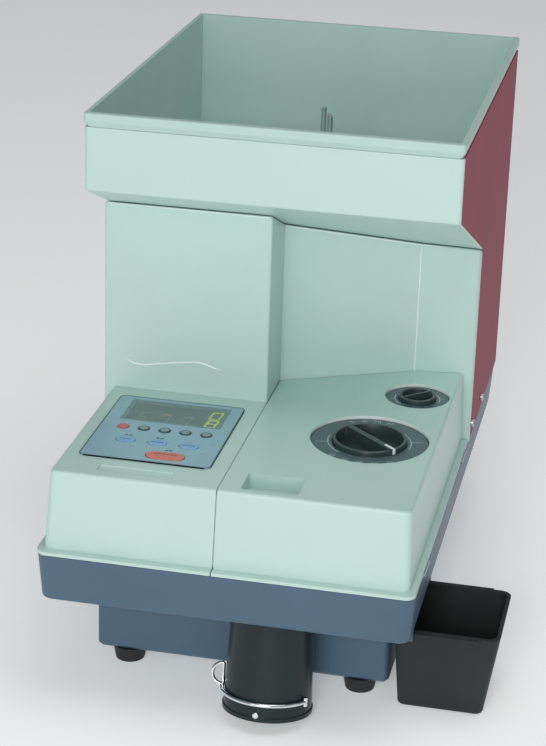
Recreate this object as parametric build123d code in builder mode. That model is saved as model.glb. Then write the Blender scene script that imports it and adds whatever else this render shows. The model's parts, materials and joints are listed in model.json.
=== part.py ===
from build123d import *
import os
from math import cos, radians, sin, tan

os.makedirs("parts", exist_ok=True)

# Coin counter with a square hopper, two sorting dials, a keypad, a bag tube and a reject box.
# Millimetres. X to the machine's right, +Y to the back, +Z up. The machine is drawn about the
# middle of its base with y = 0 at the front lip and z = 0 three millimetres over the floor, then
# every piece is shifted once by SHIFT so that the origin is the middle of the whole footprint, on
# the floor.

# ---- driving dimensions --------------------------------------------------------------------
floor_z = -3.0
plinth_low = 8.0
plinth_top = 78.0
base_top = 112.5
lip_top = 115.5
deck_z = 171.0
base_w = 265.0
base_d = 459.0
seam_x = -7.8
bulge_y = 174.2
groove_y = 221.3
crease = (88.0, 269.5)
wall_end_y = 276.0
band_y = 123.5
band_z = 338.0
band_top = 384.2
rim_start = 388.6
rim_top = 394.4
soffit_slope = 0.43
hopper_hw = 131.2
rim_hw = 133.5
rim_front = 121.4
rim_back = 459.6
sheet = 1.5
shell = 2.5
hopper_wall = 1.6
lip_corner_r = 8.0
gap = 0.4
corner_r = 4.5
deck_r = 2.2
body_hw = 132.9
panel_start = 283.4

big_dial = (77.2, 128.4)
big_dial_r = 42.4
small_dial = (98.1, 218.7)
small_dial_r = 24.0
table_xy = (0.0, 368.0)
feed_xy = (66.0, 200.0)
wheel_xy = (66.0, 66.0)
chute_xy = (119.0, 88.0)
tray_floor = 81.1
track_z = 146.0
board_z = 150.0
disc_top = 168.8
knob_top = 172.2
big_turn = -42
small_turn = 43
table_r = 74.0
tube_top_xy = (29.5, 38.5)
tube_tilt = 9.0
tube_r = 29.4
tube_len = 80.0
keypad_c = (-67.3, 100.7)
keypad_size = (94.6, 112.0)
window_c = (-66.4, 131.9)
window_size = (74.2, 38.0)
pocket_c = (26.9, 34.3)
pocket_size = (39.4, 27.0)
pocket_deep = 11.0

hinge_xz = (132.2, 112.65)
hinge_y = (40, 236)

screw_spots = [(287.6, 125.2), (348.4, 123.2)]

box_x = (112.0, 187.0)
box_y = (49.0, 128.0)
box_z = (floor_z + 0.4, 64.0)

SHIFT = (-25.95, -226.58, -floor_z)


def save(body, name):
    """Shift one finished piece to the footprint origin, label it and write its file."""
    placed = body.moved(Location(SHIFT))
    placed.label = name
    export_step(placed, f"parts/{name}.step")


def soffit(y):
    """Height of the hopper's sloping underside at depth y."""
    return band_z - soffit_slope * (y - band_y)


def at(x, y, z):
    """A horizontal work plane at a point."""
    return Plane.XY.offset(z).move(Location((x, y, 0)))


# ---- feet, plinth and base tray ------------------------------------------------------------
foot_spots = [(-86, 82), (86, 82), (-86, 415), (86, 415)]

with BuildPart() as rubber_feet:
    for fx, fy in foot_spots:
        with BuildSketch(at(fx, fy, floor_z)):
            Circle(10.6)
        extrude(amount=plinth_low - floor_z, taper=-11)
        with BuildSketch(at(fx, fy, floor_z)):
            Circle(6)
        extrude(amount=5, mode=Mode.SUBTRACT)
        with BuildSketch(at(fx, fy, floor_z)):
            Circle(2.3)
        extrude(amount=plinth_low - floor_z, mode=Mode.SUBTRACT)
save(rubber_feet.part, "rubber_feet")

with BuildPart() as foot_screws:
    for fx, fy in foot_spots:
        with BuildSketch(at(fx, fy, floor_z + 2.4)):
            Circle(4.2)
        extrude(amount=2.6)
        with BuildSketch(at(fx, fy, floor_z + 5)):
            Circle(2)
        extrude(amount=12)
        with BuildSketch(at(fx, fy, floor_z + 2.4)):
            Rectangle(5.4, 1)
            Rectangle(1, 5.4)
        extrude(amount=1.2, mode=Mode.SUBTRACT)
save(foot_screws.part, "foot_screws")

with BuildPart() as plinth:
    with BuildSketch(at(0, 248.5, plinth_low)):
        RectangleRounded(216, 357, 5)
    extrude(amount=plinth_top - plinth_low)
    chamfer(plinth.edges().group_by(Axis.Z)[0], 2.5)
    with BuildSketch(at(0, 248.5, plinth_low + 4)):
        RectangleRounded(208, 349, 3)
    extrude(amount=plinth_top, mode=Mode.SUBTRACT)
    for fx, fy in foot_spots:
        with BuildSketch(at(fx, fy, plinth_low)):
            Circle(2.3)
        extrude(amount=4, mode=Mode.SUBTRACT)
    for k in range(9):
        with BuildSketch(at(-48 + 12 * k, 300, plinth_low)):
            SlotOverall(60, 4, rotation=90)
        extrude(amount=4, mode=Mode.SUBTRACT)
save(plinth.part, "plinth")

with BuildPart() as base_tray:
    with BuildSketch(at(0, base_d / 2, plinth_top)):
        RectangleRounded(base_w - 5.2, base_d - 4.6, 9)
    with BuildSketch(at(0, base_d / 2, base_top)):
        RectangleRounded(base_w, base_d, 10)
    loft()
    fillet(base_tray.edges().group_by(Axis.Z)[0], 2.5)
    with BuildSketch(at(0, base_d / 2, plinth_top + 3)):
        RectangleRounded(base_w - 11, base_d - 11, 7)
    extrude(amount=60, mode=Mode.SUBTRACT)
    with BuildSketch(at(tube_top_xy[0], tube_top_xy[1], plinth_top)):
        Circle(tube_r + 0.9)
    extrude(amount=3, mode=Mode.SUBTRACT)
    with BuildSketch(at(0, 250, plinth_top)):
        Rectangle(150, 240)
    extrude(amount=3, mode=Mode.SUBTRACT)
    with BuildSketch(at(*chute_xy, plinth_top)):
        Rectangle(12, 34)
    extrude(amount=3, mode=Mode.SUBTRACT)
    for hy in hinge_y:
        with BuildSketch(Plane.XZ.offset(-hy)):
            with Locations(hinge_xz):
                Circle(1.25)
        extrude(amount=-24, mode=Mode.SUBTRACT)
save(base_tray.part, "base_tray")

# ---- front covers --------------------------------------------------------------------------
lip_poly_left = [
    (-132.3, 0.2), (seam_x - gap, 0.2), (seam_x - gap, bulge_y - gap), (-132.3, bulge_y - gap),
]


def raised_block(low_z, high_z, low, lean, side_l, side_r):
    """Loft the raised deck block: front leans back, outer sides lean in, back edge stays upright."""
    left = min(p[0] for p in low)
    right = max(p[0] for p in low)
    front = min(p[1] for p in low)
    high = []
    for px, py in low:
        qx = min(max(px, left + side_l), right - side_r)
        high.append((qx, py + lean if py == front else py))
    with BuildPart() as block:
        with BuildSketch(Plane.XY.offset(low_z)):
            Polygon(*low, align=None)
        with BuildSketch(Plane.XY.offset(high_z)):
            Polygon(*high, align=None)
        loft()
    return block.part


left_low = [(-128, 6.7), (seam_x - gap, 6.7), (seam_x - gap, bulge_y - gap), (-128, bulge_y - gap)]
left_low_in = [(-125.5, 9.3), (-10.7, 9.3), (-10.7, 171.3), (-125.5, 171.3)]
left_block = raised_block(lip_top, deck_z, left_low, 7.7, 2.4, 0)
left_hollow = raised_block(base_top, deck_z - shell, left_low_in, 7.9, 2.4, 0)

right_back = [(132.3, wall_end_y - 1.0), (crease[0] - 0.1, crease[1] - 1.0), (seam_x + gap, groove_y - 1.2)]
right_low = [(seam_x + gap, 6.7), (127.6, 6.7), (127.6, 274.3), right_back[1], right_back[2]]
right_low_in = [(-20, 9.3), (125, 9.3), (125, 300), (-20, 300)]
right_block = raised_block(lip_top, deck_z, right_low, 7.7, 0, 2.4)
right_hollow = raised_block(base_top, deck_z - shell, right_low_in, 7.9, 0, 2.4)


with BuildPart() as left_front_cover:
    with BuildSketch(Plane.XY.offset(base_top + 0.3)):
        Polygon(*lip_poly_left, align=None)
    extrude(amount=lip_top - base_top - 0.3)
    fillet(left_front_cover.edges().filter_by(Axis.Z).filter_by(
        lambda e: e.center().X < -130 and e.center().Y < 2
    ), lip_corner_r)
    add(left_block)
    fillet(left_front_cover.edges().filter_by(
        lambda e: 120 < e.center().Z < 165 and e.center().X < -120 and e.center().Y < 30
    ), corner_r)
    fillet(left_front_cover.edges().filter_by(
        lambda e: e.center().Z > 165 and e.center().Y < 172 and (e.center().X < -115 or e.center().Y < 22)
    ), deck_r)
    add(left_hollow, mode=Mode.SUBTRACT)
    with BuildSketch(at(window_c[0], window_c[1], deck_z - 4)):
        Rectangle(window_size[0] - 4, window_size[1] - 4)
    extrude(amount=8, mode=Mode.SUBTRACT)
    with BuildSketch(at(keypad_c[0], 79.5, deck_z - 4)):
        Rectangle(86, 62)
    extrude(amount=8, mode=Mode.SUBTRACT)
    with BuildSketch(at(-68.5, 28.6, deck_z)):
        RectangleRounded(53, 10.5, 1.6)
    extrude(amount=-1.2, mode=Mode.SUBTRACT)
save(left_front_cover.part, "left_front_cover")

with BuildPart() as right_front_cover:
    with BuildSketch(Plane.XY.offset(base_top + 0.3)):
        Polygon((seam_x + gap, 0.2), (132.3, 0.2), *right_back, align=None)
    extrude(amount=lip_top - base_top - 0.3)
    fillet(right_front_cover.edges().filter_by(Axis.Z).filter_by(
        lambda e: e.center().X > 130 and e.center().Y < 2
    ), lip_corner_r)
    add(right_block)
    fillet(right_front_cover.edges().filter_by(
        lambda e: 120 < e.center().Z < 165 and e.center().X > 120 and e.center().Y < 30
    ), corner_r)
    fillet(right_front_cover.edges().filter_by(
        lambda e: e.center().Z > 165 and e.center().Y < 200 and (e.center().X > 115 or e.center().Y < 22)
    ), deck_r)
    add(right_hollow, mode=Mode.SUBTRACT)
    with BuildSketch(at(pocket_c[0], pocket_c[1], deck_z - pocket_deep - 1.6)):
        RectangleRounded(pocket_size[0] + 3.2, pocket_size[1] + 3.2, 3)
    extrude(amount=pocket_deep + 0.6)
    with BuildSketch(at(pocket_c[0], pocket_c[1], deck_z)):
        RectangleRounded(pocket_size[0], pocket_size[1], 1.8)
    extrude(amount=-pocket_deep, mode=Mode.SUBTRACT)
    for (dx, dy), dr in ((big_dial, big_dial_r), (small_dial, small_dial_r)):
        with BuildSketch(at(dx, dy, deck_z - 6)):
            Circle(dr + 0.8)
        extrude(amount=10, mode=Mode.SUBTRACT)
    for hy in hinge_y:
        with BuildSketch(Plane.XZ.offset(-hy)):
            with Locations(hinge_xz):
                Circle(1.25)
        extrude(amount=-24, mode=Mode.SUBTRACT)
    with BuildSketch(at(seam_x + gap + 1.25, 110, deck_z - shell)):
        Rectangle(2.5, 180)
    extrude(amount=-8)
save(right_front_cover.part, "right_front_cover")

# ---- tower cover ---------------------------------------------------------------------------
tower_out = [
    (-body_hw, bulge_y), (seam_x - 0.2, bulge_y), (seam_x - 0.2, groove_y), crease, (body_hw, wall_end_y),
    (body_hw, panel_start - 0.3), (131.0, panel_start - 0.3), (131.0, 294), (-131.0, 294),
    (-131.0, panel_start - 0.3), (-body_hw, panel_start - 0.3),
]
tower_in = [
    (-128.5, bulge_y + shell), (seam_x - 0.2 - shell, bulge_y + shell),
    (seam_x - 0.2 - shell, groove_y + shell), (crease[0] - 0.6, crease[1] + shell),
    (128.5, wall_end_y + shell), (128.5, 300), (-128.5, 300),
]
side_low = [(150, 100), (150, soffit(150) - 0.6), (295, soffit(295) - 0.6), (295, 100)]
side_low_in = [(150, 90), (150, soffit(150) - 3.8), (320, soffit(320) - 3.8), (320, 90)]

with BuildPart() as tower_hollow:
    with BuildSketch(Plane.XY.offset(base_top - 5)):
        Polygon(*tower_in, align=None)
    extrude(amount=260)
    with BuildSketch(Plane.YZ.offset(-150)):
        Polygon(*side_low_in, align=None)
    extrude(amount=300, mode=Mode.INTERSECT)

with BuildPart() as tower_cover:
    with BuildSketch(Plane.XY.offset(base_top + 0.3)):
        Polygon(*tower_out, align=None)
    extrude(amount=260)
    with BuildSketch(Plane.YZ.offset(-150)):
        Polygon(*side_low, align=None)
    extrude(amount=300, mode=Mode.INTERSECT)
    upright = tower_cover.edges().filter_by(Axis.Z)
    fillet(upright.filter_by(lambda e: e.center().Y < bulge_y + 1), 1.8)
    fillet(upright.filter_by(lambda e: e.center().X > 132 and e.center().Y < wall_end_y + 1), 4.2)
    tops = tower_cover.edges().filter_by(
        lambda e: e.center().Z > 250 and e.center().Y < wall_end_y + 2 and abs(e.center().X) < 131
    )
    fillet(tops.filter_by(lambda e: abs(e.tangent_at(0.5).Z) < 0.3), 1.7)
    add(tower_hollow.part, mode=Mode.SUBTRACT)
    with BuildSketch(Plane.XZ.offset(-210)):
        with Locations((34, 142)):
            Rectangle(64, 50)
    extrude(amount=-90, mode=Mode.SUBTRACT)
    with BuildSketch(Plane.YZ.offset(-140)):
        with Locations(screw_spots[0]):
            Circle(1.7)
    extrude(amount=280, mode=Mode.SUBTRACT)
save(tower_cover.part, "tower_cover")

# ---- hopper --------------------------------------------------------------------------------
floor_edge = 300.4
housing_back = 457.4
panel_front = band_y + 3.0
housing_side = [
    (band_y, band_z), (band_y, band_top), (housing_back, band_top), (housing_back, soffit(300)),
    (300, soffit(300)),
]
panel_seat = [
    (panel_front, soffit(panel_front) + 1.2), (panel_front, band_top), (housing_back, band_top),
    (housing_back, soffit(300)), (panel_start - 0.3, soffit(300)),
    (panel_start - 0.3, soffit(panel_start) + 1.2),
]
housing_in = [
    (band_y + hopper_wall, soffit(band_y + hopper_wall) + 2.75), (band_y + hopper_wall, 400),
    (housing_back - hopper_wall, 400), (housing_back - hopper_wall, soffit(300) + shell),
    (floor_edge, soffit(300) + shell),
]

with BuildPart() as hopper_housing:
    with BuildSketch(Plane.YZ.offset(-body_hw)):
        Polygon(*housing_side, align=None)
    extrude(amount=2 * body_hw)
    fillet(hopper_housing.edges().filter_by(Axis.Z).filter_by(lambda e: e.center().Y < band_y + 1), 2.5)
    front_low = hopper_housing.edges().filter_by(Axis.X).sort_by(Axis.Y)[:2].sort_by(Axis.Z)[0]
    fillet(front_low, 1.5)
    for side in (-body_hw, hopper_hw):
        with BuildSketch(Plane.YZ.offset(side)):
            Polygon(*panel_seat, align=None)
        extrude(amount=body_hw - hopper_hw, mode=Mode.SUBTRACT)
    with BuildSketch(Plane.YZ.offset(-hopper_hw)):
        Polygon(*housing_in, align=None)
    extrude(amount=2 * hopper_hw, mode=Mode.SUBTRACT)
    with BuildSketch(at(table_xy[0], table_xy[1], 250)):
        Circle(81)
    extrude(amount=30, mode=Mode.SUBTRACT)
save(hopper_housing.part, "hopper_housing")

liner_floor = soffit(300) + shell + 3.0
liner_hw = hopper_hw - 0.2
liner_wall = 1.2
liner_out = [
    (125.4, soffit(125.4) + 3.1), (125.4, rim_top), (455.5, rim_top), (455.5, liner_floor - 2.3),
    (floor_edge, liner_floor - 2.3),
]
liner_in = [
    (126.6, soffit(126.6) + 5.4), (126.6, rim_top + 5), (454.3, rim_top + 5), (454.3, liner_floor),
    (floor_edge, liner_floor),
]

with BuildPart() as hopper_liner:
    with BuildSketch(Plane.YZ.offset(-liner_hw)):
        Polygon(*liner_out, align=None)
    extrude(amount=2 * liner_hw)
    with BuildSketch(at(0, (band_y + housing_back) / 2, band_top + 0.2)):
        RectangleRounded(2 * hopper_hw, housing_back - band_y, 3)
    with BuildSketch(at(0, (rim_front + rim_back) / 2, rim_start)):
        RectangleRounded(2 * rim_hw, rim_back - rim_front, 3)
    loft()
    with BuildSketch(at(0, (rim_front + rim_back) / 2, rim_start)):
        RectangleRounded(2 * rim_hw, rim_back - rim_front, 3)
    extrude(amount=rim_top - rim_start)
    fillet(hopper_liner.edges().group_by(Axis.Z)[-1], 1.0)
    with BuildSketch(Plane.YZ.offset(liner_wall - liner_hw)):
        Polygon(*liner_in, align=None)
    extrude(amount=2 * (liner_hw - liner_wall), mode=Mode.SUBTRACT)
    with BuildSketch(at(table_xy[0], table_xy[1], 250)):
        Circle(70)
    extrude(amount=30, mode=Mode.SUBTRACT)
save(hopper_liner.part, "hopper_liner")

post_x = (5.7, 10.7)
post_y = 288.0
post_foot = [
    (278, soffit(278) + 5.75), (278, soffit(278) + 9), (286, soffit(278) + 14), (292, soffit(278) + 14),
    (298, soffit(298) + 9), (298, soffit(298) + 5.75),
]

with BuildPart() as level_post_base:
    with BuildSketch(Plane.YZ.offset(-3)):
        Polygon(*post_foot, align=None)
    extrude(amount=22.5)
    for px in post_x:
        with BuildSketch(at(px, post_y, 270)):
            Circle(2.0)
        extrude(amount=40, mode=Mode.SUBTRACT)
save(level_post_base.part, "level_post_base")

with BuildPart() as level_posts:
    for px, tall in zip(post_x, (368.5, 364.0)):
        with BuildSketch(at(px, post_y, soffit(post_y) + 8)):
            Circle(2.0)
        extrude(amount=12)
        with BuildSketch(at(px, post_y, soffit(post_y) + 20)):
            Circle(2.4)
        with BuildSketch(at(px, post_y, tall)):
            Circle(2.1)
        loft()
    with BuildSketch(Plane.XZ.offset(-275)):
        Polygon((2, 366.4), (5.7, 368.9), (5.7, 380), (2, 380), align=None)
        Polygon((8, 365), (13.6, 361), (13.6, 380), (8, 380), align=None)
    extrude(amount=-30, mode=Mode.SUBTRACT)
save(level_posts.part, "level_posts")

# ---- coin table, its drive and the inner frame ----------------------------------------------
table_z = 255.0

with BuildPart() as turntable:
    with BuildSketch(at(table_xy[0], table_xy[1], table_z)):
        Circle(table_r)
    extrude(amount=4)
    with BuildSketch(at(table_xy[0], table_xy[1], table_z + 4)):
        Circle(22)
    extrude(amount=16, taper=35)
    for k in range(6):
        with BuildSketch(at(table_xy[0], table_xy[1], table_z + 4)):
            with PolarLocations(46, 1, start_angle=60 * k):
                Rectangle(44, 4)
        extrude(amount=2.5)
    with BuildSketch(at(table_xy[0], table_xy[1], table_z - 6)):
        Circle(13)
    extrude(amount=6)
    with BuildSketch(at(table_xy[0], table_xy[1], table_z - 6)):
        Circle(5)
    extrude(amount=18, mode=Mode.SUBTRACT)
save(turntable.part, "turntable")

with BuildPart() as table_shaft:
    with BuildSketch(at(table_xy[0], table_xy[1], 214)):
        Circle(5)
    extrude(amount=table_z + 12 - 214)
save(table_shaft.part, "table_shaft")

with BuildPart() as gearbox:
    with BuildSketch(at(table_xy[0], table_xy[1], 206)):
        RectangleRounded(86, 86, 8)
    extrude(amount=31.5)
    with BuildSketch(at(table_xy[0], table_xy[1], 237.5)):
        Circle(16)
    extrude(amount=9)
    with BuildSketch(at(table_xy[0], table_xy[1], 212)):
        Circle(5.06)
    extrude(amount=60, mode=Mode.SUBTRACT)
    with BuildSketch(at(table_xy[0], table_xy[1], 206)):
        with GridLocations(70, 70, 2, 2):
            Circle(2.4)
    extrude(amount=8, mode=Mode.SUBTRACT)
save(gearbox.part, "gearbox")

with BuildPart() as drive_motor:
    with BuildSketch(at(table_xy[0], table_xy[1], 110)):
        Circle(37)
    extrude(amount=96)
    fillet(drive_motor.edges().group_by(Axis.Z)[0], 5)
    with BuildSketch(at(table_xy[0], table_xy[1], 186)):
        Circle(40)
    extrude(amount=20)
    for k in range(12):
        with BuildSketch(at(table_xy[0], table_xy[1], 130)):
            with PolarLocations(37, 1, start_angle=30 * k):
                Rectangle(3, 6)
        extrude(amount=46, mode=Mode.SUBTRACT)
save(drive_motor.part, "drive_motor")

frame_cut = [(300, 81.2), (300, 240.6), (446, 240.6), (446, 81.2)]

with BuildPart() as inner_frame:
    with BuildSketch(Plane.YZ.offset(-122)):
        Polygon(*frame_cut, align=None)
    extrude(amount=244)
    with BuildSketch(at(0, 373, 81)):
        Rectangle(240, 200)
    extrude(amount=157.4, mode=Mode.SUBTRACT)
    for fx in (-112, 112):
        with BuildSketch(at(fx, 373, 81.2)):
            Rectangle(18, 146)
        extrude(amount=2)
    with BuildSketch(at(table_xy[0], table_xy[1], 236)):
        Circle(17)
    extrude(amount=8, mode=Mode.SUBTRACT)
    with BuildSketch(Plane.YZ.offset(-130)):
        with Locations((373, 165)):
            RectangleRounded(90, 90, 12)
    extrude(amount=260, mode=Mode.SUBTRACT)
save(inner_frame.part, "inner_frame")

with BuildPart() as sorting_ring:
    with BuildSketch(at(table_xy[0], table_xy[1], 240.8)):
        Circle(80)
    extrude(amount=20.6)
    with BuildSketch(at(table_xy[0], table_xy[1], 240.8)):
        Circle(75.4)
    extrude(amount=24, mode=Mode.SUBTRACT)
    with BuildSketch(at(24, 292, 253)):
        Rectangle(40, 24)
    extrude(amount=12, mode=Mode.SUBTRACT)
save(sorting_ring.part, "sorting_ring")

with BuildPart() as coin_chute:
    with BuildSketch(Plane.YZ.offset(8)):
        Polygon((284, 208), (284, 240), (256, 166), (231, 157), (231, 150.2), (258, 150.2), align=None)
    extrude(amount=34)
    with BuildSketch(Plane.YZ.offset(10)):
        Polygon((290, 226), (290, 262), (256, 172), (225, 161), (225, 149), (257.5, 152.5), align=None)
    extrude(amount=30, mode=Mode.SUBTRACT)
save(coin_chute.part, "coin_chute")

# ---- sorting track and dials -----------------------------------------------------------------
with BuildPart() as sorting_track:
    with BuildSketch(Plane.XY.offset(track_z)):
        Polygon((4, 20), (118, 20), (118, 262), (92, 262), (44, 240), (4, 216), align=None)
    extrude(amount=4)
    with BuildSketch(at(tube_top_xy[0], tube_top_xy[1] + 6, track_z)):
        Circle(19)
    extrude(amount=4, mode=Mode.SUBTRACT)
    with BuildSketch(at(26, 130, track_z)):
        SlotOverall(110, 26, rotation=90)
    extrude(amount=2, both=True, mode=Mode.SUBTRACT)
    for dx, dy in (big_dial, small_dial):
        with BuildSketch(at(dx, dy, track_z)):
            Circle(6)
        extrude(amount=4, mode=Mode.SUBTRACT)
    for px, py in ((72, 26), (112, 26), (112, 254), (12, 208)):
        with BuildSketch(at(px, py, tray_floor)):
            Circle(4)
        extrude(amount=65)
save(sorting_track.part, "sorting_track")


def dial_plate(center, radius, cup_r, post_r, bore_r):
    """Scale disc around a sunk cup for the knob, on a round post that stands on the sorting track."""
    with BuildPart() as disc:
        with BuildSketch(at(center[0], center[1], 150.1)):
            Circle(post_r)
        extrude(amount=8)
        with BuildSketch(at(center[0], center[1], 156.4)):
            Circle(cup_r + 1.6)
        extrude(amount=disc_top - 156.4)
        with BuildSketch(at(center[0], center[1], disc_top - 2.2)):
            Circle(radius)
        extrude(amount=2.2)
        fillet(disc.edges().group_by(Axis.Z)[-1], 0.5)
        with BuildSketch(at(center[0], center[1], 158)):
            Circle(cup_r)
        extrude(amount=20, mode=Mode.SUBTRACT)
        with BuildSketch(at(center[0], center[1], 140)):
            Circle(bore_r)
        extrude(amount=40, mode=Mode.SUBTRACT)
    return disc.part


def dial_knob(center, radius, grip_w, angle, shaft_r, cam_r):
    """Dished knob sunk in its cup, with a straight grip bar, a shaft and the eccentric cam below."""
    turn = (cos(radians(angle)), sin(radians(angle)), 0)
    with BuildPart() as knob:
        with BuildSketch(at(center[0], center[1], 158.3)):
            Circle(radius)
        extrude(amount=knob_top - 158.3)
        fillet(knob.edges().group_by(Axis.Z)[-1], 0.8)
        with BuildSketch(at(center[0], center[1], knob_top)):
            Circle(radius - 2.4)
        extrude(amount=-8.5, taper=12, mode=Mode.SUBTRACT)
        with BuildSketch(Plane(origin=(center[0], center[1], 161), x_dir=turn, z_dir=(0, 0, 1))):
            Rectangle(2 * radius - 1.6, grip_w)
        extrude(amount=knob_top + 0.8 - 161, taper=7)
        with BuildSketch(at(center[0], center[1], 141)):
            Circle(shaft_r)
        extrude(amount=19)
        with BuildSketch(at(center[0] + 2.5, center[1], 139)):
            Circle(cam_r)
        extrude(amount=5)
    return knob.part


save(dial_plate(big_dial, big_dial_r, 27.2, 10, 5), "diameter_dial_plate")
save(dial_plate(small_dial, small_dial_r, 14.4, 9, 4), "thickness_dial_plate")
save(dial_knob(big_dial, 26.8, 7.5, big_turn, 4.94, 13), "diameter_knob")
save(dial_knob(small_dial, 14.0, 4.6, small_turn, 3.94, 9), "thickness_knob")

with BuildPart() as knob_pointer:
    pointer_plane = Plane(origin=(big_dial[0], big_dial[1], knob_top + 0.8),
                          x_dir=(cos(radians(big_turn)), sin(radians(big_turn)), 0), z_dir=(0, 0, 1))
    with BuildSketch(pointer_plane):
        with Locations((22.9, 0)):
            Rectangle(10.4, 2.0)
    extrude(amount=0.5)
    with BuildSketch(pointer_plane.offset(0.5)):
        with Locations((27.6, 0)):
            Rectangle(1.0, 2.0)
    extrude(amount=-4.1)
save(knob_pointer.part, "knob_pointer")

# ---- coin feed under the right cover ---------------------------------------------------------
with BuildPart() as feed_motor:
    with BuildSketch(at(*feed_xy, 84)):
        Circle(17)
    extrude(amount=46)
    fillet(feed_motor.edges().group_by(Axis.Z)[0], 2)
    with BuildSketch(at(*feed_xy, tray_floor)):
        RectangleRounded(44, 44, 4)
    extrude(amount=3)
    with BuildSketch(at(*feed_xy, 125)):
        Circle(1.55)
    extrude(amount=10, mode=Mode.SUBTRACT)
save(feed_motor.part, "feed_motor")

with BuildPart() as feed_pulley:
    with BuildSketch(at(*feed_xy, 127)):
        Circle(1.5)
    extrude(amount=16)
    with BuildSketch(at(*feed_xy, 131.2)):
        Circle(9)
    extrude(amount=1)
    with BuildSketch(at(*feed_xy, 132.2)):
        Circle(7.5)
    extrude(amount=7)
    with BuildSketch(at(*feed_xy, 139.2)):
        Circle(9)
    extrude(amount=1)
save(feed_pulley.part, "feed_pulley")

with BuildPart() as feed_wheel:
    with BuildSketch(at(*wheel_xy, 131.2)):
        Circle(13)
    extrude(amount=1)
    with BuildSketch(at(*wheel_xy, 132.2)):
        Circle(11.5)
    extrude(amount=7)
    with BuildSketch(at(*wheel_xy, 139.2)):
        Circle(13)
    extrude(amount=1)
    with BuildSketch(at(*wheel_xy, 100)):
        Circle(3.0)
    extrude(amount=44)
save(feed_wheel.part, "feed_wheel")

with BuildPart() as wheel_post:
    with BuildSketch(at(*wheel_xy, tray_floor)):
        Circle(9)
    extrude(amount=48)
    with BuildSketch(at(*wheel_xy, 95)):
        Circle(3.06)
    extrude(amount=40, mode=Mode.SUBTRACT)
save(wheel_post.part, "wheel_post")

with BuildPart() as feed_belt:
    with BuildSketch(at(feed_xy[0], 0, 133)):
        with BuildLine():
            Polyline((-7.8, 200), (-11.8, 66))
            RadiusArc((-11.8, 66), (11.8, 66), -11.8)
            Polyline((11.8, 66), (7.8, 200))
            RadiusArc((7.8, 200), (-7.8, 200), -7.8)
        make_face()
    extrude(amount=5.4)
    with BuildSketch(at(feed_xy[0], 0, 132.9)):
        with BuildLine():
            Polyline((-7.52, 200), (-11.52, 66))
            RadiusArc((-11.52, 66), (11.52, 66), -11.52)
            Polyline((11.52, 66), (7.52, 200))
            RadiusArc((7.52, 200), (-7.52, 200), -7.52)
        make_face()
    extrude(amount=6, mode=Mode.SUBTRACT)
save(feed_belt.part, "feed_belt")

with BuildPart() as coin_sensor:
    with BuildSketch(Plane.XZ.offset(-72)):
        Polygon((2, 150.1), (2, 164), (44, 164), (44, 160), (10, 160), (10, 150.1), align=None)
    extrude(amount=-22)
    with BuildSketch(at(26, 83, 157)):
        Circle(6)
    extrude(amount=3.2)
save(coin_sensor.part, "coin_sensor")

# ---- bag tube and its ring -------------------------------------------------------------------
tube_axis = Plane(
    origin=(tube_top_xy[0], tube_top_xy[1], plinth_top + 4),
    x_dir=(1, 0, 0),
    z_dir=(0, -sin(radians(tube_tilt)), -cos(radians(tube_tilt))),
)

with BuildPart() as bag_tube:
    with BuildSketch(tube_axis):
        Circle(tube_r - 0.6)
    with BuildSketch(tube_axis.offset(tube_len)):
        Circle(tube_r + 1.9)
    loft()
    with BuildSketch(at(tube_top_xy[0], tube_top_xy[1], plinth_top + 3.1)):
        Circle(tube_r + 2.4)
    extrude(amount=2.4)
    with BuildSketch(tube_axis.offset(tube_len - 3)):
        Circle(tube_r + 2.6)
    extrude(amount=3)
    with BuildSketch(tube_axis.offset(-8)):
        Circle(tube_r - 3.4)
    with BuildSketch(tube_axis.offset(tube_len + 5)):
        Circle(tube_r - 0.8)
    loft(mode=Mode.SUBTRACT)
save(bag_tube.part, "bag_tube")

ring_plane = tube_axis.offset(tube_len - 13)
ring_r = tube_r + 3.4
wire_r = 1.5
loop_r = 8.0
ring_end = radians(27)
outward = ring_plane.x_dir * cos(ring_end) + ring_plane.y_dir * sin(ring_end)
along = ring_plane.y_dir * cos(ring_end) - ring_plane.x_dir * sin(ring_end)
end_spot = ring_plane.origin + outward * ring_r
loop_c = ring_plane.origin - ring_plane.x_dir * ring_r - ring_plane.z_dir * (loop_r - 1)
loop_top = loop_c - ring_plane.z_dir * loop_r

with BuildPart() as bag_ring:
    with BuildSketch(Plane(origin=end_spot, x_dir=outward, z_dir=along)):
        Circle(wire_r)
    revolve(axis=Axis(ring_plane.origin, ring_plane.z_dir), revolution_arc=265)
    with BuildSketch(Plane(origin=end_spot - ring_plane.z_dir * 3.2, z_dir=ring_plane.z_dir)):
        Circle(wire_r + 0.1)
    extrude(amount=6.4)
    with BuildSketch(Plane(origin=loop_top, x_dir=ring_plane.z_dir, z_dir=-ring_plane.x_dir)):
        Circle(wire_r - 0.1)
    revolve(axis=Axis(loop_c, ring_plane.y_dir), revolution_arc=180)
    with BuildSketch(Plane(origin=loop_top, z_dir=ring_plane.z_dir)):
        Circle(wire_r - 0.1)
    extrude(amount=2 * loop_r)
save(bag_ring.part, "bag_ring")

stud_turn = radians(93)
stud_out = ring_plane.x_dir * cos(stud_turn) + ring_plane.y_dir * sin(stud_turn)
stud_plane = Plane(origin=tube_axis.offset(tube_len - 5.4).origin, x_dir=ring_plane.z_dir, z_dir=stud_out)
with BuildPart() as tube_stud:
    with BuildSketch(stud_plane.offset(tube_r + 1.85)):
        Circle(2.2)
    extrude(amount=3.2)
    fillet(tube_stud.edges().sort_by(Axis.Y)[0], 0.8)
save(tube_stud.part, "tube_stud")

# ---- reject box -------------------------------------------------------------------------------
bx = (box_x[0] + box_x[1]) / 2
by = (box_y[0] + box_y[1]) / 2
bw = box_x[1] - box_x[0]
bd = box_y[1] - box_y[0]

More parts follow.
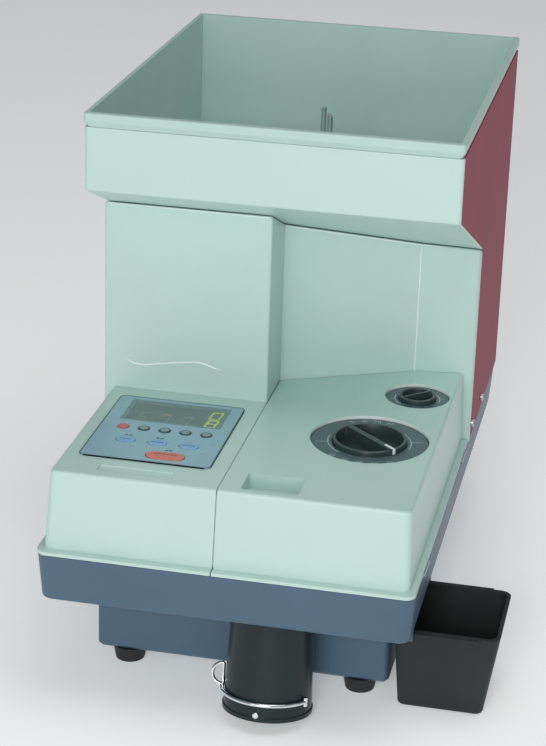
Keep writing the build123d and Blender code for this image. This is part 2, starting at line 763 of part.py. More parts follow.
with BuildPart() as reject_box:
    with BuildSketch(at(bx - 3, by + 4, box_z[0])):
        RectangleRounded(bw - 14, bd - 18, 6)
    with BuildSketch(at(bx, by, box_z[1])):
        RectangleRounded(bw, bd, 8)
    loft()
    fillet(reject_box.edges().group_by(Axis.Z)[0], 2)
    with BuildSketch(at(bx - 3, by + 4, box_z[0] + 3)):
        RectangleRounded(bw - 18.4, bd - 22.4, 4)
    with BuildSketch(at(bx, by, box_z[1] + 4)):
        RectangleRounded(bw - 4.8, bd - 4.8, 6)
    loft(mode=Mode.SUBTRACT)
    for fy in (by - bd / 2 - 0.9, by + bd / 2 + 0.9):
        with BuildSketch(at(bx - 4, fy, 61.4)):
            Rectangle(56, 3.2)
        extrude(amount=2.2)
save(reject_box.part, "reject_box")

rail_front = [
    (44.4, 58.6), (48.5, 58.6), (48.5, 60.8), (46.0, 60.8),
    (46.0, 64.2), (48.5, 64.2), (48.5, 77.8), (44.4, 77.8),
]
rail_back = [(2 * by - ry, rz) for ry, rz in rail_front]

with BuildPart() as box_rails:
    for outline in (rail_front, rail_back):
        with BuildSketch(Plane.YZ.offset(112)):
            Polygon(*outline, align=None)
        extrude(amount=15)
save(box_rails.part, "box_rails")

with BuildPart() as reject_chute:
    with BuildSketch(at(*chute_xy, box_z[1] + 2)):
        Rectangle(11.4, 33.4)
    extrude(amount=38)
    with BuildSketch(at(*chute_xy, plinth_top + 3.1)):
        Rectangle(15, 38)
    extrude(amount=2)
    with BuildSketch(at(*chute_xy, box_z[1])):
        Rectangle(8.4, 30)
    extrude(amount=44, mode=Mode.SUBTRACT)
save(reject_chute.part, "reject_chute")

# ---- side and rear panels ---------------------------------------------------------------------
panel_low = [
    (panel_front + 0.3, soffit(panel_front) + 1.4), (panel_front + 0.3, band_top - 0.2), (459, band_top - 0.2),
    (459, 113), (panel_start, 113), (panel_start, soffit(panel_start) + 1.4),
]


def side_panel(x_in):
    """Flat sheet side panel with two screw holes along its lower edge."""
    with BuildPart() as panel:
        with BuildSketch(Plane.YZ.offset(x_in)):
            Polygon(*panel_low, align=None)
        extrude(amount=sheet)
        with BuildSketch(Plane.YZ.offset(x_in - 2)):
            with Locations(*screw_spots):
                Circle(1.7)
        extrude(amount=6, mode=Mode.SUBTRACT)
    return panel.part


save(side_panel(hopper_hw + 0.1), "right_side_panel")
save(side_panel(-hopper_hw - 0.1 - sheet), "left_side_panel")


def screw(origin, direction, head_r, shank_r, length):
    """Pan-head screw with a cross slot, pointing along direction."""
    base = Plane(origin=origin, z_dir=direction)
    with BuildPart() as one:
        with BuildSketch(base):
            Circle(head_r)
        extrude(amount=-2.2)
        fillet(one.edges().group_by(Axis(origin, direction))[0], 0.9)
        with BuildSketch(base):
            Circle(shank_r)
        extrude(amount=length)
        with BuildSketch(base.offset(-2.3)):
            Rectangle(head_r * 1.3, 0.8)
            Rectangle(0.8, head_r * 1.3)
        extrude(amount=1.0, mode=Mode.SUBTRACT)
    return one.part


side_screws = Compound(children=[
    screw((s * 132.9, sy, sz), (-s, 0, 0), 3.4, 1.6, 6) for s in (1, -1) for sy, sz in screw_spots
])
save(side_screws, "side_screws")

with BuildPart() as panel_rails:
    for s in (1, -1):
        with BuildSketch(at(s * 128.2, 371, 113.0)):
            Rectangle(6, 150)
        extrude(amount=16)
    with BuildSketch(Plane.YZ.offset(-140)):
        with Locations(*screw_spots):
            Circle(1.62)
    extrude(amount=280, mode=Mode.SUBTRACT)
save(panel_rails.part, "panel_rails")

inlet_c = (-96.0, 150.0)
inlet_pins = [(-7, -2), (0, 4.2), (7, -2)]
switch_c = (-52.0, 150.0)
fuse_c = (-20.0, 150.0)

with BuildPart() as rear_panel:
    with BuildSketch(Plane.XZ.offset(-457.5)):
        Polygon((-131.2, 113), (131.2, 113), (131.2, 383.8), (-131.2, 383.8), align=None)
    extrude(amount=-sheet)
    with BuildSketch(Plane.XZ.offset(-450)):
        with Locations(inlet_c):
            Rectangle(28, 24.6)
        with Locations(switch_c):
            Rectangle(13.4, 19.4)
        with Locations(fuse_c):
            Circle(6.2)
        for k in range(10):
            with Locations((70, 210 + 9 * k)):
                SlotOverall(80, 3.4)
            with Locations((-70, 210 + 9 * k)):
                SlotOverall(80, 3.4)
    extrude(amount=-20, mode=Mode.SUBTRACT)
save(rear_panel.part, "rear_panel")

with BuildPart() as power_inlet:
    with BuildSketch(Plane.XZ.offset(-459.0)):
        with Locations(inlet_c):
            RectangleRounded(34, 29, 2)
    extrude(amount=-0.6)
    with BuildSketch(Plane.XZ.offset(-437)):
        with Locations(inlet_c):
            Rectangle(27.4, 24)
    extrude(amount=-22.6)
    with BuildSketch(Plane.XZ.offset(-443)):
        with Locations(inlet_c):
            Rectangle(23.6, 16.4)
    extrude(amount=-20, mode=Mode.SUBTRACT)
    with BuildSketch(Plane.XZ.offset(-441)):
        with Locations(*[(inlet_c[0] + px, inlet_c[1] + pz) for px, pz in inlet_pins]):
            Rectangle(2, 4)
    extrude(amount=-14)
save(power_inlet.part, "power_inlet")

with BuildPart() as switch_body:
    with BuildSketch(Plane.XZ.offset(-459.0)):
        with Locations(switch_c):
            RectangleRounded(16, 22, 1.5)
    extrude(amount=-0.6)
    with BuildSketch(Plane.XZ.offset(-438)):
        with Locations(switch_c):
            Rectangle(13, 19)
    extrude(amount=-21.6)
    with BuildSketch(Plane.XZ.offset(-446)):
        with Locations(switch_c):
            Rectangle(10.6, 16.6)
    extrude(amount=-20, mode=Mode.SUBTRACT)
save(switch_body.part, "switch_body")

with BuildPart() as switch_rocker:
    with BuildSketch(Plane.YZ.offset(switch_c[0] - 5)):
        with BuildLine():
            Polyline((452, 143.4), (458.9, 143.4), (457.4, 150), (460.4, 156.6), (452, 156.6), (452, 143.4))
        make_face()
    extrude(amount=10)
save(switch_rocker.part, "switch_rocker")

with BuildPart() as fuse_holder:
    with BuildSketch(Plane.XZ.offset(-459.0)):
        with Locations(fuse_c):
            RegularPolygon(8, 8)
    extrude(amount=-0.6)
    with BuildSketch(Plane.XZ.offset(-430)):
        with Locations(fuse_c):
            Circle(5.9)
    extrude(amount=-29.6)
save(fuse_holder.part, "fuse_holder")

round_key_r = 4.25
pill_size = (14.0, 8.6)
start_size = (27.8, 12.0)
round_keys = [(-97.3 + 15.33 * k, 100.1) for k in range(5)]
blue_keys = [(-66.3 + 23 * k, 77.8) for k in (-1, 0, 1)]
start_key_c = (-55.0, 56.7)

# ---- electronics --------------------------------------------------------------------------------
with BuildPart() as transformer:
    with BuildSketch(at(-88, 240, tray_floor)):
        Rectangle(46, 62)
    extrude(amount=40)
    with BuildSketch(at(-88, 240, 88)):
        RectangleRounded(60, 44, 6)
    extrude(amount=26)
save(transformer.part, "transformer")

board_chips = [
    (-106, 66, 12, 18, 4), (-30, 62, 10, 14, 3), (-108, 128, 8, 30, 6), (-62, 46, 40, 6, 6),
]

with BuildPart() as circuit_board:
    with BuildSketch(at(-68, 100, board_z)):
        Rectangle(96, 116)
    extrude(amount=1.6)
    for px, py, wide, deep, tall in board_chips:
        with BuildSketch(at(px, py, board_z + 1.6)):
            Rectangle(wide, deep)
        extrude(amount=tall)
    for kx, ky in round_keys + blue_keys + [start_key_c]:
        with BuildSketch(at(kx, ky, board_z + 1.6)):
            Rectangle(6, 6)
        extrude(amount=5.8)
    for px, py in ((-112, 46), (-24, 46), (-112, 154), (-24, 154)):
        with BuildSketch(at(px, py, tray_floor)):
            Circle(3.2)
        extrude(amount=69)
save(circuit_board.part, "circuit_board")

# ---- keypad, window and keys --------------------------------------------------------------------

with BuildPart() as keypad_panel:
    with BuildSketch(at(keypad_c[0], keypad_c[1], deck_z)):
        RectangleRounded(keypad_size[0], keypad_size[1], 4)
    extrude(amount=1.0)
    with BuildSketch(at(window_c[0], window_c[1], deck_z - 1)):
        Rectangle(window_size[0] - 6, window_size[1] - 6)
    extrude(amount=4, mode=Mode.SUBTRACT)
    with BuildSketch(at(window_c[0], window_c[1], deck_z + 0.4)):
        Rectangle(window_size[0], window_size[1])
    extrude(amount=2, mode=Mode.SUBTRACT)
    with BuildSketch(at(0, 0, deck_z - 1)):
        with Locations(*round_keys):
            Circle(round_key_r + 0.3)
        with Locations(*blue_keys):
            SlotOverall(pill_size[0] + 0.6, pill_size[1] + 0.6)
        with Locations(start_key_c):
            SlotOverall(start_size[0] + 0.8, start_size[1] + 0.8)
    extrude(amount=4, mode=Mode.SUBTRACT)
save(keypad_panel.part, "keypad_panel")

with BuildPart() as display_window:
    with BuildSketch(at(window_c[0], window_c[1], deck_z + 0.42)):
        Rectangle(window_size[0] - 0.2, window_size[1] - 0.2)
    extrude(amount=0.8)
save(display_window.part, "display_window")

with BuildPart() as display_module:
    with BuildSketch(at(window_c[0], window_c[1], 157.8)):
        Rectangle(68, 32)
    extrude(amount=11.4)
    with BuildSketch(at(window_c[0], window_c[1], 169)):
        Rectangle(64, 28)
    extrude(amount=1.4)
save(display_module.part, "display_module")


def key(center, outline, name):
    """One push key: a cap in the panel hole and a wider stem foot below the cover."""
    with BuildPart() as cap:
        with BuildSketch(at(center[0], center[1], deck_z - 3.4)):
            add(outline)
        extrude(amount=5.0)
        fillet(cap.edges().group_by(Axis.Z)[-1], 0.5)
        with BuildSketch(at(center[0], center[1], 158.5)):
            Circle(2.2)
        extrude(amount=10)
    save(cap.part, name)


with BuildSketch() as round_outline:
    Circle(round_key_r)
with BuildSketch() as pill_outline:
    SlotOverall(*pill_size)
with BuildSketch() as start_outline:
    SlotOverall(*start_size)

for k, spot in enumerate(round_keys):
    key(spot, round_outline.sketch, f"round_key_{k + 1}")
for k, spot in enumerate(blue_keys):
    key(spot, pill_outline.sketch, f"blue_key_{k + 1}")
key(start_key_c, start_outline.sketch, "start_key")

with BuildPart() as cover_hinges:
    for hy in hinge_y:
        with BuildSketch(Plane.XZ.offset(-hy - 0.3)):
            with Locations(hinge_xz):
                Circle(1.2)
        extrude(amount=-23.4)
save(cover_hinges.part, "cover_hinges")
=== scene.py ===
import json
import math

import bmesh
import bpy
from mathutils import Matrix, Vector


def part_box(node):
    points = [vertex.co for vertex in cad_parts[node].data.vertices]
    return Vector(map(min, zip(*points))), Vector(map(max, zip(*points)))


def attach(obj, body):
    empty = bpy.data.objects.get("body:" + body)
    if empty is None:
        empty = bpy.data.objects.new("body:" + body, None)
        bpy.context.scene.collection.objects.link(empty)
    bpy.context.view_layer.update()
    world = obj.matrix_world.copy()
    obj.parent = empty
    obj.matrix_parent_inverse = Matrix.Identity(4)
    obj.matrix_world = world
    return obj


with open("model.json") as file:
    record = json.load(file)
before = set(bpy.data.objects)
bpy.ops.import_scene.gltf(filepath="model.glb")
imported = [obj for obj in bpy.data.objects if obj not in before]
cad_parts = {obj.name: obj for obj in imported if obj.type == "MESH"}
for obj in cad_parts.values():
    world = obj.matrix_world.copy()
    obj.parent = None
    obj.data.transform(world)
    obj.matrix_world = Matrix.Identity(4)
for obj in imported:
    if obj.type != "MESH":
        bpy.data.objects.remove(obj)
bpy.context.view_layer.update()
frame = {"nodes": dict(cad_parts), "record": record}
NODES = frame["nodes"]
MM = 0.001
SKIN = 0.05 * MM  # depth of a printed mark below, and its height above, the surface that carries it


# ---- material helpers ----------------------------------------------------------------------
def new_material(name):
    mat = bpy.data.materials.new(name)
    mat.use_nodes = True
    tree = mat.node_tree
    return mat, tree, tree.nodes["Principled BSDF"]


def shade(colour, k):
    return tuple(max(0.0, min(1.0, c * k)) for c in colour)


def noise(tree, scale, detail=4.0, roughness=0.6, stretch=(1.0, 1.0, 1.0)):
    """Noise in object space, with the scale in features per metre."""
    where = tree.nodes.new("ShaderNodeTexCoord")
    mapping = tree.nodes.new("ShaderNodeMapping")
    mapping.inputs["Scale"].default_value = stretch
    tree.links.new(where.outputs["Object"], mapping.inputs["Vector"])
    made = tree.nodes.new("ShaderNodeTexNoise")
    made.inputs["Scale"].default_value = scale
    made.inputs["Detail"].default_value = detail
    made.inputs["Roughness"].default_value = roughness
    tree.links.new(mapping.outputs["Vector"], made.inputs["Vector"])
    return made.outputs["Fac"]


def ramp(tree, fac, low, high):
    """Colour ramp between two (position, colour) stops."""
    made = tree.nodes.new("ShaderNodeValToRGB")
    for element, (place, colour) in zip(made.color_ramp.elements, (low, high)):
        element.position = place
        element.color = (*colour, 1)
    tree.links.new(fac, made.inputs["Fac"])
    return made.outputs["Color"]


def remap(tree, value, low, high, out_low, out_high):
    made = tree.nodes.new("ShaderNodeMapRange")
    for key, number in (("From Min", low), ("From Max", high), ("To Min", out_low), ("To Max", out_high)):
        made.inputs[key].default_value = number
    tree.links.new(value, made.inputs["Value"])
    return made.outputs["Result"]


def rounded_normal(tree, radius):
    """A normal that rolls over sharp edges, as a moulded or folded edge does."""
    made = tree.nodes.new("ShaderNodeBevel")
    made.samples = 4
    made.inputs["Radius"].default_value = radius
    return made.outputs["Normal"]


def pale_edges_worn_and_highlit(tree, tone, pale_edge_colour, amount, rolled):
    """Mix a paler tone in along edges, broken up by noise: partly edge wear, partly a painted highlight on
    the edges.
    """
    plain = tree.nodes.new("ShaderNodeNewGeometry")
    dot = tree.nodes.new("ShaderNodeVectorMath")
    dot.operation = "DOT_PRODUCT"
    tree.links.new(rolled, dot.inputs[0])
    tree.links.new(plain.outputs["Normal"], dot.inputs[1])
    edge = remap(tree, dot.outputs["Value"], 0.985, 0.78, 0.0, amount)
    patchy = remap(tree, noise(tree, 90.0, 5.0), 0.35, 0.62, 0.25, 1.0)
    both = tree.nodes.new("ShaderNodeMath")
    both.operation = "MULTIPLY"
    tree.links.new(edge, both.inputs[0])
    tree.links.new(patchy, both.inputs[1])
    mixed = tree.nodes.new("ShaderNodeMix")
    mixed.data_type = "RGBA"
    mixed.inputs["B"].default_value = (*pale_edge_colour, 1)
    tree.links.new(both.outputs["Value"], mixed.inputs["Factor"])
    tree.links.new(tone, mixed.inputs["A"])
    return mixed.outputs["Result"]


def relief(tree, shader, height, strength, distance, rolled=None):
    lift = tree.nodes.new("ShaderNodeBump")
    lift.inputs["Strength"].default_value = strength
    lift.inputs["Distance"].default_value = distance
    tree.links.new(height, lift.inputs["Height"])
    if rolled:
        tree.links.new(rolled, lift.inputs["Normal"])
    tree.links.new(lift.outputs["Normal"], shader.inputs["Normal"])


def plastic(name, colour, rough=0.38, grain=1500.0, bump=0.05, vary=0.05, coat=0.0, mottle=14.0, spec=0.5,
            edge=0.0006, worn_and_highlit_amount=0.35):
    """Moulded plastic: cloudy tone, spark-eroded grain, uneven gloss and pale edges, partly handling wear
    and partly painted highlight.
    """
    mat, tree, shader = new_material(name)
    rolled = rounded_normal(tree, edge)
    cloud = noise(tree, mottle, 5.0)
    tone = ramp(tree, cloud, (0.3, shade(colour, 1 - vary)), (0.7, shade(colour, 1 + vary)))
    pale = tuple(c + (1 - c) * 0.22 for c in colour)
    tree.links.new(pale_edges_worn_and_highlit(tree, tone, pale, worn_and_highlit_amount, rolled), shader.inputs["Base Color"])
    smears = noise(tree, mottle * 1.7, 3.0, 0.5)
    gloss = remap(tree, smears, 0.3, 0.7, max(rough - 0.03, 0.05), rough + 0.04)
    tree.links.new(gloss, shader.inputs["Roughness"])
    relief(tree, shader, noise(tree, grain, 2.0), bump, 0.0002, rolled)
    shader.inputs["Specular IOR Level"].default_value = spec
    shader.inputs["Coat Weight"].default_value = coat
    shader.inputs["Coat Roughness"].default_value = 0.12
    return mat


def metal(name, colour, rough=0.25, brushed=(1.0, 1.0, 1.0), vary=0.06, grain=600.0, bump=0.06):
    """Metal with a brushed or rolled direction and uneven brightness."""
    mat, tree, shader = new_material(name)
    lines = noise(tree, grain, 4.0, 0.7, brushed)
    tone = ramp(tree, noise(tree, 22.0), (0.3, shade(colour, 1 - vary)), (0.7, shade(colour, 1 + vary)))
    tree.links.new(tone, shader.inputs["Base Color"])
    shader.inputs["Metallic"].default_value = 1.0
    gloss = remap(tree, lines, 0.0, 1.0, max(rough - 0.06, 0.03), rough + 0.1)
    tree.links.new(gloss, shader.inputs["Roughness"])
    relief(tree, shader, lines, bump, 0.0001, rounded_normal(tree, 0.0004))
    return mat


def paint(name, colour, rough=0.50, spec=0.06):
    """Stoved sheet-metal paint: fine orange peel, slow change of tone down the panel, pale edges, partly
    wear on the cut edges and partly painted highlight.
    """
    mat, tree, shader = new_material(name)
    rolled = rounded_normal(tree, 0.0005)
    streaks = noise(tree, 9.0, 6.0, 0.62, (1.0, 1.0, 0.35))
    tone = ramp(tree, streaks, (0.25, shade(colour, 0.86)), (0.75, shade(colour, 1.12)))
    worn_and_highlit_tone = pale_edges_worn_and_highlit(tree, tone, shade(colour, 1.9), 0.5, rolled)
    tree.links.new(worn_and_highlit_tone, shader.inputs["Base Color"])
    relief(tree, shader, noise(tree, 420.0, 2.0), 0.07, 0.0003, rolled)
    tree.links.new(remap(tree, streaks, 0.0, 1.0, rough - 0.04, rough + 0.06), shader.inputs["Roughness"])
    shader.inputs["Specular IOR Level"].default_value = spec
    return mat


def glow(name, colour, strength):
    """A lit segment behind the window, slightly uneven."""
    mat, tree, shader = new_material(name)
    tone = ramp(tree, noise(tree, 900.0, 2.0), (0.3, shade(colour, 0.85)), (0.7, colour))
    tree.links.new(tone, shader.inputs["Emission Color"])
    tree.links.new(tone, shader.inputs["Base Color"])
    shader.inputs["Emission Strength"].default_value = strength
    shader.inputs["Roughness"].default_value = 0.4
    return mat


def clear_window(name, haze, alpha):
    """Tinted acrylic with a faint haze."""
    mat, tree, shader = new_material(name)
    tone = ramp(tree, noise(tree, 60.0, 5.0), (0.3, shade(haze, 0.92)), (0.7, shade(haze, 1.08)))
    tree.links.new(tone, shader.inputs["Base Color"])
    tree.links.new(remap(tree, noise(tree, 40.0), 0.3, 0.7, 0.10, 0.16), shader.inputs["Roughness"])
    shader.inputs["IOR"].default_value = 1.49
    shader.inputs["Alpha"].default_value = alpha
    return mat


# ---- materials -----------------------------------------------------------------------------
BODY = plastic("body plastic", (0.50, 0.685, 0.628), rough=0.34, bump=0.04, vary=0.02, coat=0.08,
               edge=0.0008)
HOPPER = plastic("hopper plastic", (0.45, 0.63, 0.58), rough=0.42, bump=0.05, vary=0.03)
BASE = plastic("base plastic", (0.062, 0.120, 0.182), rough=0.42, bump=0.10, vary=0.06, grain=900.0,
               worn_and_highlit_amount=0.2)
BLACK = plastic("black gloss plastic", (0.014, 0.022, 0.023), rough=0.30, bump=0.04, vary=0.15, coat=0.05,
                spec=0.25, worn_and_highlit_amount=0.1)
BOX = plastic("black box plastic", (0.027, 0.031, 0.031), rough=0.50, bump=0.14, vary=0.15, grain=800.0,
              spec=0.18, worn_and_highlit_amount=0.12)
DIAL = plastic("dial plastic", (0.075, 0.125, 0.135), rough=0.36, bump=0.05, vary=0.08, worn_and_highlit_amount=0.2)
KNOB = plastic("knob plastic", (0.030, 0.050, 0.052), rough=0.30, bump=0.05, vary=0.12, coat=0.1, worn_and_highlit_amount=0.3)
WHITE = plastic("white marking", (0.78, 0.84, 0.82), rough=0.4, bump=0.03, vary=0.04)
PALE_MARK = plastic("pale marking", (0.48, 0.60, 0.60), rough=0.45, bump=0.03, vary=0.08)
# Maroon base colour of the side and rear sheet panels: partly the panels' own paint, partly a painted
# reflection of red surroundings.
MAROON_AND_RED_REFLECTION = paint("maroon paint with painted red reflection", (0.33, 0.070, 0.108))
RUBBER = plastic("foot rubber", (0.014, 0.014, 0.015), rough=0.62, bump=0.2, vary=0.2, grain=1200.0,
                 worn_and_highlit_amount=0.1)
CHROME = metal("bright chrome", (0.80, 0.82, 0.83), rough=0.10, vary=0.04)
ZINC = metal("zinc steel", (0.56, 0.57, 0.58), rough=0.30, brushed=(1.0, 0.08, 1.0))
ALU = metal("bare aluminium", (0.66, 0.67, 0.68), rough=0.32, brushed=(1.0, 0.05, 1.0))
FILM = plastic("keypad film", (0.275, 0.45, 0.54), rough=0.30, bump=0.03, vary=0.04, worn_and_highlit_amount=0.1)
FILM_EDGE = plastic("keypad edge", (0.061, 0.127, 0.141), rough=0.4, bump=0.03, vary=0.05, worn_and_highlit_amount=0.1)
RED_KEY = plastic("red key", (0.56, 0.115, 0.15), rough=0.32, bump=0.03, vary=0.05)
GREY_KEY = plastic("grey key", (0.050, 0.088, 0.100), rough=0.32, bump=0.03, vary=0.05)
GREY_FACE = plastic("grey key face", (0.22, 0.34, 0.34), rough=0.36, bump=0.03, vary=0.05)
BLUE_KEY = plastic("blue key", (0.22, 0.41, 0.65), rough=0.32, bump=0.03, vary=0.05)
BLUE_MARK = plastic("blue key marking", (0.09, 0.21, 0.48), rough=0.4, bump=0.03, vary=0.05)
START_KEY = plastic("start key", (0.66, 0.17, 0.13), rough=0.32, bump=0.03, vary=0.05)
START_MARK = plastic("start key marking", (0.30, 0.055, 0.055), rough=0.4, bump=0.03, vary=0.05)
BOARD = plastic("circuit board", (0.03, 0.16, 0.08), rough=0.4, bump=0.12, vary=0.2, grain=500.0)
DISPLAY = plastic("display face", (0.085, 0.125, 0.11), rough=0.5, bump=0.03, vary=0.1)
DIM = plastic("unlit segment", (0.36, 0.38, 0.28), rough=0.5, bump=0.03, vary=0.1)
LIT = glow("lit green segment", (0.50, 0.56, 0.03), 0.85)
AMBER = glow("lit amber segment", (0.55, 0.20, 0.05), 0.55)
WINDOW = clear_window("display window", (0.29, 0.43, 0.42), 0.38)

BY_SLOT = {
    "body_plastic": BODY, "hopper_plastic": HOPPER, "base_plastic": BASE, "black_plastic": BLACK,
    "box_plastic": BOX, "dial_plastic": DIAL, "knob_plastic": KNOB, "white_mark": WHITE,
    "red_sheet": MAROON_AND_RED_REFLECTION, "foot_rubber": RUBBER, "bright_chrome": CHROME, "zinc_steel": ZINC,
    "bare_aluminium": ALU, "film": FILM, "window": WINDOW, "display": DISPLAY, "red_key": RED_KEY,
    "grey_key": GREY_KEY, "blue_key": BLUE_KEY, "start_key": START_KEY, "board": BOARD,
    "belt_rubber": RUBBER,
}
SLOT_OF = {s["node"]: s["material_slot"] for s in frame["record"]["subparts"]}

for name, obj in NODES.items():
    obj.data.materials.clear()
    obj.data.materials.append(BY_SLOT[SLOT_OF[name]])


# ---- mesh helpers ---------------------------------------------------------------------------
def middle(node):
    low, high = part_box(node)
    return (low + high) / 2


def finish_piece(name, bm, material, body):
    """Turn a bmesh into an object that rides on a body and takes the material it is given."""
    bmesh.ops.recalc_face_normals(bm, faces=bm.faces)
    mesh = bpy.data.meshes.new(name)
    bm.to_mesh(mesh)
    bm.free()
    made = bpy.data.objects.new(name, mesh)
    bpy.context.collection.objects.link(made)
    made.data.materials.append(material)
    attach(made, body)
    return made


def prisms(name, outlines, low_z, high_z, material, body, slot):
    """One piece made of flat upright prisms, one for each outline of (x, y) points."""
    bm = bmesh.new()
    for outline in outlines:
        foot = bm.faces.new([bm.verts.new((x, y, low_z)) for x, y in outline])
        grown = bmesh.ops.extrude_face_region(bm, geom=[foot])
        tops = [v for v in grown["geom"] if isinstance(v, bmesh.types.BMVert)]
        bmesh.ops.translate(bm, vec=(0, 0, high_z - low_z), verts=tops)
    return finish_piece(name, bm, material, body)


def stroke(start, end, width):
    """Rectangle outline around the line from start to end."""
    along = (Vector(end) - Vector(start)).normalized()
    side = Vector((-along.y, along.x)) * width / 2
    return [Vector(start) + side, Vector(start) - side, Vector(end) - side, Vector(end) + side]


def arc_band(center, inner, outer, start, end, steps=24):
    """Outline of a strip that follows an arc, with angles in degrees."""
    turns = [math.radians(start + (end - start) * k / steps) for k in range(steps + 1)]
    there = [(center.x + outer * math.cos(a), center.y + outer * math.sin(a)) for a in turns]
    back = [(center.x + inner * math.cos(a), center.y + inner * math.sin(a)) for a in reversed(turns)]
    return there + back


def polar(center, radius, degrees):
    a = math.radians(degrees)
    return Vector((center.x + radius * math.cos(a), center.y + radius * math.sin(a)))


SEGMENTS = {
    "0": "abcdef", "1": "bc", "2": "abged", "3": "abgcd", "4": "fgbc", "5": "afgcd", "6": "afgedc",
    "7": "abc", "8": "abcdefg", "9": "abcdfg",
}
SEGMENT_ENDS = {
    "a": ((-1, 2), (1, 2)), "b": ((1, 2), (1, 0)), "c": ((1, 0), (1, -2)), "d": ((-1, -2), (1, -2)),
    "e": ((-1, 0), (-1, -2)), "f": ((-1, 2), (-1, 0)), "g": ((-1, 0), (1, 0)),
}


def digit(sign, center, height, width, thick, turn=0.0, lean=0.0):
    """Strokes of one seven-segment figure, turned by an angle in degrees and leaning sideways."""
    spin = Matrix.Rotation(math.radians(turn), 2)
    outlines = []
    for segment in SEGMENTS[sign]:
        ends = []
        for ux, uy in SEGMENT_ENDS[segment]:
            spot = Vector((ux * width / 2 + lean * uy / 4 * height, uy * height / 4))
            ends.append(spin @ spot + Vector(center))
        outlines.append(stroke(ends[0], ends[1], thick))
    return outlines


def number(text, center, height, turn):
    """A short number centred on a point."""
    pitch = height * 0.85
    side = Matrix.Rotation(math.radians(turn), 2) @ Vector((pitch, 0))
    outlines = []
    for k, sign in enumerate(text):
        spot = Vector(center) + side * (k - (len(text) - 1) / 2)
        outlines += digit(sign, spot, height, height * 0.5, height * 0.14, turn)
    return outlines


# ---- dial markings ---------------------------------------------------------------------------
def dial_scale(name, plate, knob_r, rim_r, upper, lower, height, index_turn):
    """Pale scale on a dial plate: numbers above and below, arcs and index lines at the sides."""
    center = middle(plate)
    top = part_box(plate)[1].z
    tick_in, tick_out = knob_r + 0.6 * MM, knob_r + 1.8 * MM
    arc_in, arc_out = knob_r + 0.9 * MM, knob_r + 1.7 * MM
    index_in, index_out = knob_r + 1.4 * MM, rim_r - 3 * MM
    marks = []
    for group, outward in ((upper, 1), (lower, -1)):
        for text, angle in group:
            marks += number(text, polar(center, rim_r - height * 1.15, angle), height, angle - 90 * outward)
            tick = polar(center, tick_in, angle), polar(center, tick_out, angle)
            marks.append(stroke(*tick, 0.5 * MM))
    for turn in (index_turn, index_turn + 180):
        marks.append(stroke(polar(center, index_in, turn), polar(center, index_out, turn), 0.6 * MM))
        marks.append(arc_band(center, arc_in, arc_out, turn - 24, turn + 38))
    prisms(name, marks, top - SKIN, top + 0.06 * MM, PALE_MARK, "machine", "white_mark")


big_upper = [("16", 121), ("18", 106), ("20", 91), ("22", 76)]
big_lower = [("32", 234), ("30", 251), ("28", 268), ("26", 285), ("24", 302)]
small_upper = [("1", 135), ("2", 105), ("3", 75)]
small_lower = [("6", 240), ("5", 270), ("4", 300)]
index_turn = 14
dial_scale("diameter_scale", "diameter_dial_plate", 28.6 * MM, 41.6 * MM, big_upper, big_lower, 3.4 * MM,
           index_turn)
dial_scale("thickness_scale", "thickness_dial_plate", 15.6 * MM, 23.4 * MM, small_upper, small_lower,
           2.6 * MM, index_turn)


# ---- keypad ----------------------------------------------------------------------------------
film_low, film_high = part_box("keypad_panel")
film_corner = 4 * MM
border = 0.9 * MM


def rounded_ring(low, high, corner, width, steps=8):
    """Quads of a frame with round corners, as outlines."""
    def loop(inset):
        points = []
        for k, (cx, cy) in enumerate(((high.x, high.y), (low.x, high.y), (low.x, low.y), (high.x, low.y))):
            sx = -1 if cx == high.x else 1
            sy = -1 if cy == high.y else 1
            center = Vector((cx + sx * corner, cy + sy * corner, 0))
            for n in range(steps + 1):
                points.append(polar(center, corner - inset, 90 * k + 90 * n / steps))
        return points

    outer = loop(0)
    inner = loop(width)
    count = len(outer)
    return [[outer[n], outer[(n + 1) % count], inner[(n + 1) % count], inner[n]] for n in range(count)]


prisms("keypad_border", rounded_ring(film_low, film_high, film_corner, border), film_low.z + 0.02 * MM,
       film_high.z + 0.05 * MM, FILM_EDGE, "machine", "film")

for k in range(2, 6):
    cap = middle(f"round_key_{k}")
    cap_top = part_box(f"round_key_{k}")[1].z
    face = [arc_band(cap, 0.05 * MM, 2.9 * MM, 0, 359.9, 40)]
    prisms(f"round_key_face_{k}", face, cap_top - SKIN, cap_top + SKIN, GREY_FACE,
           f"round_key_{k}_body", "grey_key")


def dashes(name, node, body, count, length, thick, up, material, slot):
    """Short generic dashes across a key cap, standing in for its legend."""
    center = middle(node)
    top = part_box(node)[1].z
    pitch = length * 1.35
    lines = []
    for k in range(count):
        x = center.x + (k - (count - 1) / 2) * pitch
        y = center.y + up
        lines.append(stroke((x - length / 2, y), (x + length / 2, y), thick))
    prisms(name, lines, top - SKIN, top + SKIN, material, body, slot)


for k in (1, 2, 3):
    dashes(f"blue_key_mark_{k}", f"blue_key_{k}", f"blue_key_{k}_body", 4, 1.7 * MM, 1.5 * MM, 0, BLUE_MARK,
           "blue_key")
dashes("start_key_mark", "start_key", "start_key_body", 6, 2.1 * MM, 1.6 * MM, 1.9 * MM, START_MARK,
       "start_key")

symbols = []
for node, rise in (("blue_key_1", 8.2 * MM), ("blue_key_2", 8.2 * MM), ("start_key", 10.0 * MM)):
    over = middle(node)
    for side in (-1, 1):
        x = over.x + side * 1.6 * MM
        y = over.y + rise
        symbols.append(stroke((x - 1.1 * MM, y), (x + 1.1 * MM, y), 1.9 * MM))
prisms("keypad_symbols", symbols, film_high.z - SKIN, film_high.z + SKIN, GREY_KEY, "machine", "film")

